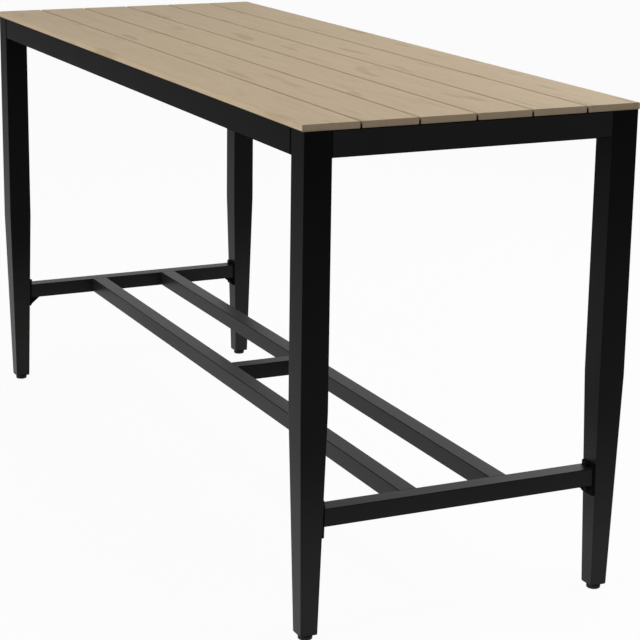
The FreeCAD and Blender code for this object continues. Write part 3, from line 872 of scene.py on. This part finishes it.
def make_stud(corner):
    """A stud round Z in one piece, moved to its leg. The collar's corners point as the frame's do."""
    low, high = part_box(f"foot_stud_{corner}")
    middle = (low + high) / 2
    bm = bmesh.new()
    add_thread(bm, COLLAR_HIGH - THREAD_IN_COLLAR, high.z)
    bmesh.ops.create_cone(
        bm, cap_ends=True, segments=NECK_SEGMENTS, radius1=NECK_RADIUS, radius2=NECK_RADIUS,
        depth=COLLAR_HIGH - low.z,
        matrix=Matrix.Translation((0, 0, (COLLAR_HIGH + low.z) / 2 - NECK_DROP)),
    )
    collar = make_collar(math.radians(30 if high.x - low.x > high.y - low.y else 0))
    bm.from_mesh(collar)
    bpy.data.meshes.remove(collar)
    bmesh.ops.recalc_face_normals(bm, faces=bm.faces)
    bmesh.ops.translate(bm, vec=(middle.x, middle.y, 0), verts=bm.verts)
    return finish_piece(
        f"threaded_stud_{corner}", bm, (zinc_plate,), f"stud_{corner}", "zinc_steel", f"foot_stud_{corner}"
    )


glides = [make_glide(corner) for corner in CORNERS]
studs = [make_stud(corner) for corner in CORNERS]
print(len(glides), "glides and", len(studs), "studs,", len(studs[0].data.polygons), "faces a stud")

# %% [markdown]
# ## Pieces that stay as they were cut
#
# Battens, corner brackets, plugs, rivet nuts and the fasteners under the top already have the right shape
# in the frame. Their meshes stay as they are, and they only get their finish.

# %% Finish the pieces kept from the frame
KEPT = {
    "batten_": powder_coat,
    "corner_bracket_": powder_coat,
    "leg_plug_": plug_plastic,
    "bracket_bolts": black_steel,
    "slat_screws": zinc_plate,
    "footrest_rivet_nuts": plate_coat,
    "bracket_rivet_nuts": zinc_plate,
}

kept_count = 0
for node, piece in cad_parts.items():
    for start, finish in KEPT.items():
        if node.startswith(start):
            piece.data.materials.clear()
            piece.data.materials.append(finish)
            kept_count += 1
print(kept_count, "pieces keep their shape")

# %% [markdown]
# ## Floor, world and lamps
#
# The photo is a cut-out on white. A wide pale floor gives the table something to stand on. Camera,
# reflection and transmission rays see most of it as white, and the rest of its shade is the table's soft
# shadow. The world does the same for what lies past the floor. A large soft lamp above lights the boards
# so that a colour comes out about as it was mixed. A second one at the long side is mirrored in the legs
# and the apron at a glancing angle. A small weak one behind the far end is mirrored in the footrest's top.

# %% Lay the floor and set the light
FLOOR_REACH = 60.0
FLOOR_WHITE = (0.90, 0.90, 0.90)
FLOOR_GLOW = 0.95
FLOOR_CLOUD_SCALE = 0.7
FLOOR_ROUGHNESS, FLOOR_ROUGHNESS_SPREAD, FLOOR_SPECULAR = 0.75, 0.1, 0.2
WHITE = (1.0, 1.0, 1.0, 1.0)
WORLD_LIGHT = 0.22
# A lamp's name, its place, the point that it faces, its width and depth in metres, and its watts.
LAMPS = [
    ("lamp_above", (1.1, 1.5, 4.2), (0.2, 0.1, 1.05), 2.6, 2.6, 80),
    ("lamp_long_side", (0.4, -4.4, 1.7), (0.3, 0, 0.6), 2.6, 2.0, 95),
    ("lamp_behind", (-2.0, 3.0, 1.9), (0.6, 0.1, 0.5), 1.6, 1.2, 11),
]


def background_rays(finish):
    """1 for rays that show the background: from the camera, by reflection or through glass."""
    camera, glossy, through = [
        finish.node("ShaderNodeLightPath", output=name)
        for name in ("Is Camera Ray", "Is Glossy Ray", "Is Transmission Ray")
    ]
    shown = camera + glossy + through
    return shown.math("MINIMUM", shown, 1.0)


def lay_floor():
    bm = bmesh.new()
    bmesh.ops.create_grid(bm, x_segments=8, y_segments=8, size=FLOOR_REACH)
    mesh = make_mesh("studio_floor", bm)
    floor = add_object("studio_floor", mesh)
    finish = Finish("pale_floor")
    x, y, z = finish.place()
    cloud = finish.noise(x, y, z, scale=FLOOR_CLOUD_SCALE)
    paint = finish.node("ShaderNodeBsdfPrincipled", sockets={
        "Base Color": (*FLOOR_WHITE, 1.0), "Specular IOR Level": FLOOR_SPECULAR,
        "Roughness": FLOOR_ROUGHNESS + cloud * FLOOR_ROUGHNESS_SPREAD,
    })
    glow = finish.node("ShaderNodeEmission", sockets={"Color": WHITE, "Strength": 1.0})
    share = background_rays(finish) * FLOOR_GLOW
    mixed = finish.node("ShaderNodeMixShader", sockets={0: share, 1: paint, 2: glow})
    finish.node("ShaderNodeOutputMaterial", sockets={"Surface": mixed})
    mesh.materials.append(finish.material)


def set_world():
    world = bpy.data.worlds.new("studio")
    bpy.context.scene.world = world
    finish = Finish("studio", world)
    soft = finish.node("ShaderNodeBackground", sockets={"Color": WHITE, "Strength": WORLD_LIGHT})
    shown = finish.node("ShaderNodeBackground", sockets={"Color": WHITE, "Strength": 1.0})
    mixed = finish.node("ShaderNodeMixShader", sockets={0: background_rays(finish), 1: soft, 2: shown})
    finish.node("ShaderNodeOutputWorld", sockets={"Surface": mixed})


def hang_lamp(name, place, target, width, depth, power):
    lamp = bpy.data.lights.new(name, "AREA")
    lamp.shape = "RECTANGLE"
    lamp.size, lamp.size_y = width, depth
    lamp.energy = power
    stand = add_object(name, lamp)
    stand.visible_camera = False
    stand.location = place
    direction = Vector(target) - Vector(place)
    stand.rotation_euler = direction.to_track_quat("-Z", "Y").to_euler()


lay_floor()
set_world()
for lamp in LAMPS:
    hang_lamp(*lamp)
print(len(LAMPS), "lamps, and a floor", 2 * FLOOR_REACH, "m wide")

# %% [markdown]
# ## The camera
#
# The photo looks down at the table from beyond one end, a little above the boards, with a long lens. The
# lens, place and turn were fitted to the corners that show, and a small shift frames the table as there.

# %% Aim the camera
FRAME_PIXELS = 640
FOCAL_PIXELS = 1980.39
OPTICAL_CENTRE = (260.0, 288.14)
CAMERA_PLACE = Vector((4.3088, -1.9095, 1.6679))
CAMERA_YAW = 1.1572
CAMERA_PITCH = -0.2502
CAMERA_ROLL = 0.0072
SENSOR_WIDTH = 36.0
CLIP_END = 200


def aim_camera():
    lens = bpy.data.cameras.new("photo_camera")
    lens.sensor_fit = "HORIZONTAL"
    lens.sensor_width = SENSOR_WIDTH
    lens.lens = FOCAL_PIXELS * SENSOR_WIDTH / FRAME_PIXELS
    lens.shift_x = (FRAME_PIXELS / 2 - OPTICAL_CENTRE[0]) / FRAME_PIXELS
    lens.shift_y = (OPTICAL_CENTRE[1] - FRAME_PIXELS / 2) / FRAME_PIXELS
    lens.clip_end = CLIP_END
    ahead = Vector((
        -math.sin(CAMERA_YAW) * math.cos(CAMERA_PITCH),
        math.cos(CAMERA_YAW) * math.cos(CAMERA_PITCH),
        math.sin(CAMERA_PITCH),
    ))
    right = ahead.cross(Vector((0, 0, 1))).normalized()
    up = right.cross(ahead)
    roll = Matrix.Rotation(-CAMERA_ROLL, 4, ahead)
    turn = Matrix((right, up, -ahead)).transposed().to_4x4()
    camera = add_object("photo_camera", lens)
    camera.matrix_world = Matrix.Translation(CAMERA_PLACE) @ roll @ turn
    bpy.context.scene.camera = camera
    return camera


camera = aim_camera()
bpy.context.scene.view_settings.view_transform = "Standard"
shifts = [round(shift, 3) for shift in (camera.data.shift_x, camera.data.shift_y)]
print("lens", round(camera.data.lens, 1), "mm, shift", shifts)
